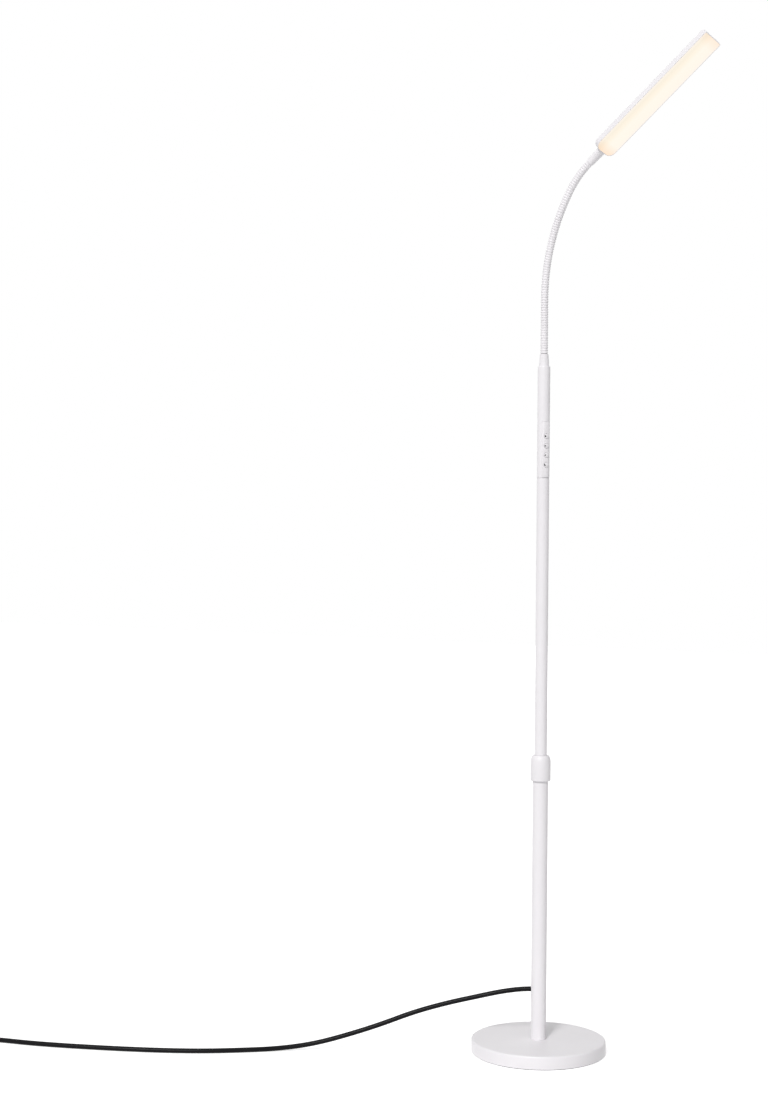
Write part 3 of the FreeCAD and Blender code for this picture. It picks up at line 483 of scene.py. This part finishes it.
# ---- Control housing
# Moulded sleeve on the upper tube's end, with a window behind the buttons and a turned shoulder at its top.
pod_radius, pod_bore = 0.0101, 0.0081
pod_bottom, pod_top = 0.940, 1.121
pod_round = 0.0018
pod_floor, pod_ceiling = 0.943, 1.101
spigot_bottom, spigot_gap = 0.920, 0.00005
seat_radius, seat_bottom = 0.007, 1.110
wire_bore = 0.004
panel_heading = math.radians(-42.0)
panel_bottom, panel_top = 0.9406, 1.0306
panel_half_width = 0.0062
panel_back = 0.0078
window_radius, window_set_back = 0.012, 0.00015
seam = 0.00035
first_button, button_pitch, button_count = 0.9612, 0.0154, 4
button_heights = [first_button + button_pitch * k for k in range(button_count)]


def panel_strip(grow, low_radius, high_radius, back):
    """The curved strip of the button panel: a slow cone, cut to the strip's width and height."""
    height = panel_top - panel_bottom + 2 * grow
    middle = (panel_top + panel_bottom) / 2
    bpy.ops.object.select_all(action="DESELECT")
    bpy.ops.mesh.primitive_cone_add(vertices=192, radius1=low_radius, radius2=high_radius, depth=height,
                                    location=(0, 0, middle))
    strip = bpy.context.object
    depth, spare = 0.02, 0.001
    sideways = Vector((math.cos(panel_heading), math.sin(panel_heading), 0))
    bpy.ops.object.select_all(action="DESELECT")
    bpy.ops.mesh.primitive_cube_add(size=1, location=sideways * (back + depth / 2) + Vector((0, 0, middle)),
                                    rotation=(0, 0, panel_heading),
                                    scale=(depth, 2 * (panel_half_width + grow), height + spare))
    carve(strip, bpy.context.object, "INTERSECT")
    return strip


outline = [(wire_bore, spigot_bottom), (upper_tube_bore - spigot_gap, spigot_bottom),
           (upper_tube_bore - spigot_gap, pod_bottom), (pod_radius, pod_bottom)]
outline += arc(pod_radius - pod_round, pod_top - pod_round, pod_round, 0, 90, 6)
outline += [(seat_radius, pod_top), (seat_radius, seat_bottom), (wire_bore, seat_bottom),
            (wire_bore, pod_ceiling), (pod_bore, pod_ceiling), (pod_bore, pod_floor), (wire_bore, pod_floor)]
pod = turn_piece("control_pod", outline, 128)
carve(pod, panel_strip(seam, window_radius, window_radius, panel_back - window_set_back))
settle(pod)
fit(pod, white_moulding, "mast", "white_plastic", "control_housing")

# ---- Control cover
# Curved moulded strip that closes the window. It swells slightly towards its top, has four round holes for
# the buttons, and screws to the circuit board from behind.
cover_low_radius, cover_high_radius = 0.0102, 0.0110
cover_edge_round = 0.00018
button_radius = 0.00375
button_gap = 0.0004
cover_strip = panel_strip(0.0, cover_low_radius, cover_high_radius, panel_back)
cover_strip.name = "cover_strip"
for height in button_heights:
    carve(cover_strip, outward_bar(button_radius + button_gap, panel_heading, height, start=0.005,
                                   length=0.01, sides=64))
rounding = cover_strip.modifiers.new("rounding", "BEVEL")
rounding.width = cover_edge_round
rounding.segments = 2
rounding.limit_method = "ANGLE"
rounding.angle_limit = math.radians(40)
bpy.ops.object.modifier_apply(modifier=rounding.name)
settle(cover_strip)
fit(cover_strip, white_moulding, "mast", "white_plastic", "control_cover")

# ---- Circuit board
# Green board behind the cover with a click switch under each button, and the two screws that hold it.
repaint("control_board", skin_finish("solder_mask", (0.02, 0.12, 0.05), (0.025, 0.15, 0.06), 0.25, 0.35,
                                     800.0, 0.00002))
repaint("tact_switches", skin_finish("switch_case", (0.02, 0.02, 0.02), (0.03, 0.03, 0.03), 0.35, 0.45,
                                     1200.0, 0.00002))
repaint("board_screws", plated_steel)

# ---- Buttons
# Four domed caps of white plastic, each printed in near black with a plain mark of its own. The flange that
# keeps a real one in behind the cover isn't modelled here, only the skirt where it would sit.
button_side = 0.0009
button_dome = 0.0007
dome_shares = (0.97, 0.9, 0.75, 0.5, 0.25)
skirt_front, skirt_height = 0.0077, 0.0007
nearly_straight = 0.9
mark_aside = 0.0024
mark_thick, mark_sink = 0.0006, 0.00022
mark_radius = {"dot": 0.0013, "square": 0.0014, "ring": 0.0013, "crescent": 0.0016}
mark_sides = {"dot": 24, "square": 4, "ring": 40, "crescent": 40}
ring_hole = 0.0004
crescent_bite, bite_aside, bite_up = 0.0011, 0.0009, 0.0005
print_grey = skin_finish("grey_print", (0.01, 0.01, 0.01), (0.015, 0.015, 0.015), 0.55, 0.65, 900.0, 0.00001)


def select_faces(piece, wanted):
    """Selects in edit mode the faces whose centre passes a test, and nothing else."""
    bpy.ops.object.mode_set(mode="EDIT")
    bpy.ops.mesh.select_mode(type="FACE")
    bpy.ops.mesh.select_all(action="DESELECT")
    bpy.ops.object.mode_set(mode="OBJECT")
    for face in piece.data.polygons:
        face.select = wanted(face)
    bpy.ops.object.mode_set(mode="EDIT")


def domed_cap(name, top):
    """A cap about Z: a short cylinder whose top is inset and raised into a dome. It is closed above a thin
    skirt at its foot."""
    bpy.ops.object.select_all(action="DESELECT")
    foot = skirt_front - skirt_height
    bpy.ops.mesh.primitive_cylinder_add(vertices=64, radius=button_radius, depth=top - foot,
                                        location=(0, 0, (top + foot) / 2))
    cap = bpy.context.object
    cap.name = name
    bpy.ops.object.transform_apply(location=True)
    select_faces(cap, lambda face: face.normal.z > nearly_straight)
    dome_radius = (button_radius ** 2 + button_dome ** 2) / (2 * button_dome)
    edge = button_radius
    level = 0.0
    for share in dome_shares:
        ring = button_radius * share
        rise = math.sqrt(dome_radius ** 2 - ring ** 2) - (dome_radius - button_dome)
        bpy.ops.mesh.inset(thickness=edge - ring, depth=0)
        bpy.ops.transform.translate(value=(0, 0, rise - level))
        edge, level = ring, rise
    select_faces(cap, lambda face: face.normal.z < -nearly_straight)
    bpy.ops.mesh.extrude_region_move(TRANSFORM_OT_translate={"value": (0, 0, 0)})
    bpy.ops.transform.translate(value=(0, 0, skirt_height))
    bpy.ops.object.mode_set(mode="OBJECT")
    return cap


def mark_disc(radius, aside, up, top, sides):
    """A thin printed patch just proud of a cap's dome, this far aside of its middle and above it."""
    fall = button_dome * (aside ** 2 + up ** 2) / button_radius ** 2
    slope = 2 * button_dome * aside / button_radius ** 2
    bpy.ops.object.select_all(action="DESELECT")
    bpy.ops.mesh.primitive_cylinder_add(vertices=sides, radius=radius, depth=mark_thick,
                                        location=(-up, aside, top + button_dome - fall - mark_sink),
                                        rotation=(-slope, 0, 0))
    return bpy.context.object


def printed_mark(kind, top):
    """The mark of one button: a dot, a ring, a square or a crescent, printed on its left half."""
    sides = mark_sides[kind]
    mark = mark_disc(mark_radius[kind], -mark_aside, 0, top, sides)
    if kind == "crescent":
        tool = mark_disc(crescent_bite, bite_aside - mark_aside, bite_up, top, sides)
    elif kind == "ring":
        tool = mark_disc(ring_hole, -mark_aside, 0, top, sides)
    else:
        return mark
    tool.scale.z = 3
    carve(mark, tool)
    return mark


marks = {"timer": "crescent", "tone": "square", "dim": "ring", "power": "dot"}
for (button, mark_kind), height in zip(marks.items(), button_heights):
    level = (height - panel_bottom) / (panel_top - panel_bottom)
    top = cover_low_radius + (cover_high_radius - cover_low_radius) * level + button_side
    cap = domed_cap("cap_" + button, top)
    cap.data.materials.append(white_moulding)
    mark = printed_mark(mark_kind, top)
    mark.data.materials.append(print_grey)
    bpy.ops.object.select_all(action="DESELECT")
    mark.select_set(True)
    cap.select_set(True)
    bpy.context.view_layer.objects.active = cap
    bpy.ops.object.join()
    outward = Matrix.Rotation(panel_heading, 4, "Z") @ Matrix.Rotation(math.pi / 2, 4, "Y")
    cap.data.transform(Matrix.Translation((0, 0, height)) @ outward)
    settle(cap)
    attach(cap, button + "_button")
    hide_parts("button_" + button)

# ---- Neck ferrule
# Turned steel cone, powder coated, pressed into the control housing. The ribbed neck comes out of its top.
ferrule_low, ferrule_high = 0.0084, 0.0069
neck_base = 1.1407
neck_bore = 0.0026
edge_drop, edge_break, rim_drop = 0.0005, 0.0003, 0.0002
cup_wide, cup_narrow, cup_depth = 0.0062, 0.0060, 0.0022
outline = [(wire_bore, seat_bottom), (seat_radius, seat_bottom), (seat_radius, pod_top),
           (ferrule_low, pod_top)]
outline += [(ferrule_high, neck_base - edge_drop), (ferrule_high - edge_break, neck_base - rim_drop),
            (cup_wide, neck_base - rim_drop), (cup_narrow, neck_base - cup_depth),
            (neck_bore, neck_base - cup_depth), (neck_bore, pod_top), (wire_bore, pod_top)]
cone = turn_piece("neck_cone", outline, 96)
fit(cone, white_coat, "mast", "white_paint", "neck_ferrule")

# ---- Gooseneck
# Ribbed tube of wound steel, painted white, which stays where it is bent. It is made straight, rib by rib,
# and laid on the curve of the photograph, in eight lengths cut at the middle of each of the neck's seven
# links.
straight_length = 0.089
middle_length, middle_turn = 0.177, math.radians(27.4)
end_length, end_turn = 0.056, math.radians(20.2)
neck_length = straight_length + middle_length + end_length
link_count = 7
rib_crest, rib_valley = 0.0061, 0.0047
rib_pitch = 0.0041
rings_per_rib = 6
crest_shape = 0.45
neck_steps = 1288


def neck_lean(s):
    """How far the neck leans from upright at a length s along it."""
    middle = min(max(s - straight_length, 0), middle_length) / middle_length
    end = max(s - straight_length - middle_length, 0) / end_length
    return middle_turn * middle + end_turn * end


neck_line = [Vector((0, 0, neck_base))]
for k in range(neck_steps):
    lean = neck_lean(neck_length * (k + 0.5) / neck_steps)
    step = Vector((math.sin(lean), 0, math.cos(lean))) * (neck_length / neck_steps)
    neck_line.append(neck_line[-1] + step)


def neck_point(s):
    """Point of the neck's centre line at a length s along it."""
    at = min(max(s / neck_length, 0), 1) * neck_steps
    k = min(int(at), neck_steps - 1)
    return neck_line[k].lerp(neck_line[k + 1], at - k)


def rib_radius(s):
    """Radius of the ribbed skin at a length s along the neck: full crests and narrow valleys."""
    return rib_valley + (rib_crest - rib_valley) * abs(math.sin(math.pi * s / rib_pitch)) ** crest_shape


def neck_piece(name, start, end):
    """Ribbed tube from one length along the neck to another, open bore, both ends closed to it."""
    count = round((end - start) / rib_pitch * rings_per_rib)
    stations = [start + (end - start) * k / count for k in range(count + 1)]
    outline = [(rib_radius(s), s) for s in stations] + [(neck_bore, end), (neck_bore, start)]
    piece = turn_piece(name, outline, 40)
    for vertex in piece.data.vertices:
        s = vertex.co.z
        lean = neck_lean(s)
        off_axis = Vector((math.cos(lean), 0, -math.sin(lean))) * vertex.co.x + Vector((0, vertex.co.y, 0))
        vertex.co = neck_point(s) + off_axis
    return piece


sleeve_paint = skin_finish("white_sleeve_paint", (0.852, 0.830, 0.854), (0.866, 0.844, 0.868), 0.40, 0.48,
                           900.0, 0.000005)
link_length = neck_length / link_count
cuts = [0.0] + [link_length * (k + 0.5) for k in range(link_count)] + [neck_length]
for k in range(link_count + 1):
    rib_run = neck_piece("neck_ribs_%d" % (k + 1), cuts[k], cuts[k + 1])
    rib_run.data.materials.append(sleeve_paint)
    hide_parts("neck_link_%d" % min(k + 1, link_count))
    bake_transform(rib_run)

# ---- Head ferrule
# Painted steel sleeve that grips the neck's end and flattens towards the head, with a tenon into it.
head_roll = math.radians(30.0)
ferrule_length = 0.0264
sleeve_radius = 0.0066
sleeve_half_width, sleeve_half_thick = 0.0080, 0.0054
mouth_break, mouth_break_height, end_break = 0.0002, 0.0003, 0.0004
flare_steps, flare_length = 10, ferrule_length - 0.0008
socket_radius, socket_depth = 0.0056, 0.005
tenon_radius, tenon_bore, tenon_length = 0.003, 0.002, 0.009
end_lean = neck_lean(neck_length)
head_place = Matrix.Translation(neck_point(neck_length)) @ Matrix.Rotation(
    end_lean - math.pi / 2, 4, "Y") @ Matrix.Rotation(-head_roll, 4, "X")
rings = [(socket_radius, socket_radius, 0.0), (sleeve_radius - mouth_break, sleeve_radius - mouth_break, 0.0),
         (sleeve_radius, sleeve_radius, mouth_break_height)]
for k in range(1, flare_steps + 1):
    share = k / flare_steps
    ease = share * share * (3 - 2 * share)
    rings.append((sleeve_radius + (sleeve_half_thick - sleeve_radius) * ease,
                  sleeve_radius + (sleeve_half_width - sleeve_radius) * ease,
                  mouth_break_height + flare_length * share))
tenon_end = ferrule_length + tenon_length
rings += [(sleeve_half_thick - end_break, sleeve_half_width - end_break, ferrule_length),
          (tenon_radius, tenon_radius, ferrule_length), (tenon_radius, tenon_radius, tenon_end),
          (tenon_bore, tenon_bore, tenon_end), (tenon_bore, tenon_bore, socket_depth),
          (socket_radius, socket_radius, socket_depth)]
head_sleeve = ring_by_ring("head_sleeve", rings, 64)
head_sleeve.data.transform(head_place @ Matrix.Rotation(math.pi / 2, 4, "Y"))
settle(head_sleeve)
fit(head_sleeve, white_coat, "head", "white_paint", "head_ferrule")

# ---- Head housing
# Slim tray of painted aluminium, open towards the light. Its near corners are rounder than its far ones.
head_length, head_width, head_thick = 0.2445, 0.040, 0.011
head_wall = 0.0008
near_corner, far_corner = 0.012, 0.003
back_edge, rim_edge = 0.0012, 0.0003
corner_steps = 10
hair = 0.00001


def round_edges(piece, wanted, width, steps):
    """Rounds the edges whose two ends pass a test, and nothing else."""
    bpy.ops.object.mode_set(mode="EDIT")
    bpy.ops.mesh.select_mode(type="EDGE")
    bpy.ops.mesh.select_all(action="DESELECT")
    bpy.ops.object.mode_set(mode="OBJECT")
    points = piece.data.vertices
    for edge in piece.data.edges:
        edge.select = wanted(points[edge.vertices[0]].co, points[edge.vertices[1]].co)
    bpy.ops.object.mode_set(mode="EDIT")
    bpy.ops.mesh.bevel(offset=width, segments=steps, affect="EDGES")
    bpy.ops.object.mode_set(mode="OBJECT")


def head_plate(name, inset, low, high):
    """A plate of the head's outline, drawn in by an inset, lying along X between two heights."""
    near = ferrule_length + inset
    far = ferrule_length + head_length - inset
    bpy.ops.object.select_all(action="DESELECT")
    bpy.ops.mesh.primitive_cube_add(size=1, location=((near + far) / 2, 0, (low + high) / 2),
                                    scale=(far - near, head_width - 2 * inset, high - low))
    plate = bpy.context.object
    plate.name = name
    bpy.ops.object.transform_apply(location=True, scale=True)
    middle = (near + far) / 2
    for corner, side in ((near_corner - inset, -1), (far_corner - inset, 1)):
        def upright(a, b):
            at_end = (a.x - middle) * side > (far - near) / 2 - hair
            return at_end and abs(a.x - b.x) < hair and abs(a.y - b.y) < hair
        round_edges(plate, upright, corner, corner_steps)
    return plate


half_head = head_thick / 2
casing = head_plate("head_casing", 0.0, -half_head, half_head)
select_faces(casing, lambda face: face.normal.z < -nearly_straight)
bpy.ops.mesh.inset(thickness=head_wall, depth=0)
bpy.ops.mesh.extrude_region_move(TRANSFORM_OT_translate={"value": (0, 0, head_thick - head_wall)})
bpy.ops.object.mode_set(mode="OBJECT")
round_edges(casing, lambda a, b: min(a.z, b.z) > half_head - hair, back_edge, 5)
round_edges(casing, lambda a, b: max(a.z, b.z) < -half_head + hair, rim_edge, 2)
casing.data.transform(head_place)
settle(casing)
fit(casing, white_coat, "head", "head_metal", "head_housing")

# ---- Diffuser
# Opal sheet let into the tray, lit warm white from behind. It is palest along its lower right and deepens
# to amber along the other edge and at both ends, where the row of lights stops short.
lens_gap, lens_set_back, lens_thick, lens_edge = 0.00005, 0.0001, 0.0023, 0.0004
lens = head_plate("opal_lens", head_wall + lens_gap, -half_head + lens_set_back,
                  -half_head + lens_set_back + lens_thick)
round_edges(lens, lambda a, b: max(a.z, b.z) < -half_head + lens_set_back + hair, lens_edge, 3)
lens.data.transform(head_place)
settle(lens)


def tones(nodes, links, place, stops):
    """Colours that change with a place between 0 and 1, given as positions and their colours."""
    ramp = nodes.new("ShaderNodeValToRGB")
    elements = ramp.color_ramp.elements
    for element, (position, colour) in zip(elements, (stops[0], stops[-1])):
        element.position = position
        element.color = (*colour, 1)
    for position, colour in stops[1:-1]:
        elements.new(position).color = (*colour, 1)
    links.new(place, ramp.inputs["Fac"])
    return ramp.outputs["Color"]


def lit_opal():
    """Opal plastic lit from behind: its glow is set by the place across and along the head."""
    finish = bpy.data.materials.new("lit_opal")
    finish.use_nodes = True
    nodes, links = finish.node_tree.nodes, finish.node_tree.links
    shader = nodes["Principled BSDF"]
    shader.inputs["Roughness"].default_value = 0.45
    place = nodes.new("ShaderNodeTexCoord")
    turn = nodes.new("ShaderNodeMapping")
    turn.vector_type = "TEXTURE"
    turn.inputs["Location"].default_value = head_place.to_translation()
    turn.inputs["Rotation"].default_value = head_place.to_euler()
    links.new(place.outputs["Object"], turn.inputs["Vector"])
    split = nodes.new("ShaderNodeSeparateXYZ")
    links.new(turn.outputs["Vector"], split.inputs["Vector"])
    across = spread_out(nodes, links, split.outputs["Y"], -head_width / 2, head_width / 2)
    band = tones(nodes, links, across, (
        (0.02, (0.87, 0.80, 0.71)), (0.16, (0.83, 0.76, 0.63)), (0.34, (0.89, 0.80, 0.67)),
        (0.50, (0.91, 0.83, 0.73)), (0.82, (0.91, 0.82, 0.72)), (0.98, (0.86, 0.80, 0.73))))
    along = spread_out(nodes, links, split.outputs["X"], ferrule_length, ferrule_length + head_length)
    ends = tones(nodes, links, along, (
        (0.0, (0.97, 0.82, 0.70)), (0.08, (1, 1, 1)), (0.92, (1, 1, 1)), (1.0, (0.98, 0.89, 0.82))))
    glow = nodes.new("ShaderNodeMix")
    glow.data_type = "RGBA"
    glow.blend_type = "MULTIPLY"
    glow.inputs["Factor"].default_value = 1.0
    links.new(band, glow.inputs["A"])
    links.new(ends, glow.inputs["B"])
    links.new(glow.outputs["Result"], shader.inputs["Emission Color"])
    shader.inputs["Emission Strength"].default_value = 1.0
    shader.inputs["Base Color"].default_value = (0.12, 0.11, 0.10, 1)
    finish.cycles.emission_sampling = "NONE"
    return finish


fit(lens, lit_opal(), "head", "lens", "diffuser")

# ---- Light board
# White aluminium board with its row of warm chips behind the diffuser, and the two screws that hold it.
repaint("led_board", skin_finish("board_white", (0.78, 0.78, 0.76), (0.82, 0.82, 0.80), 0.4, 0.5,
                                 900.0, 0.00001))
repaint("led_chips", skin_finish("phosphor", (0.80, 0.62, 0.16), (0.85, 0.68, 0.20), 0.3, 0.4,
                                 900.0, 0.00001))
repaint("head_screws", plated_steel)
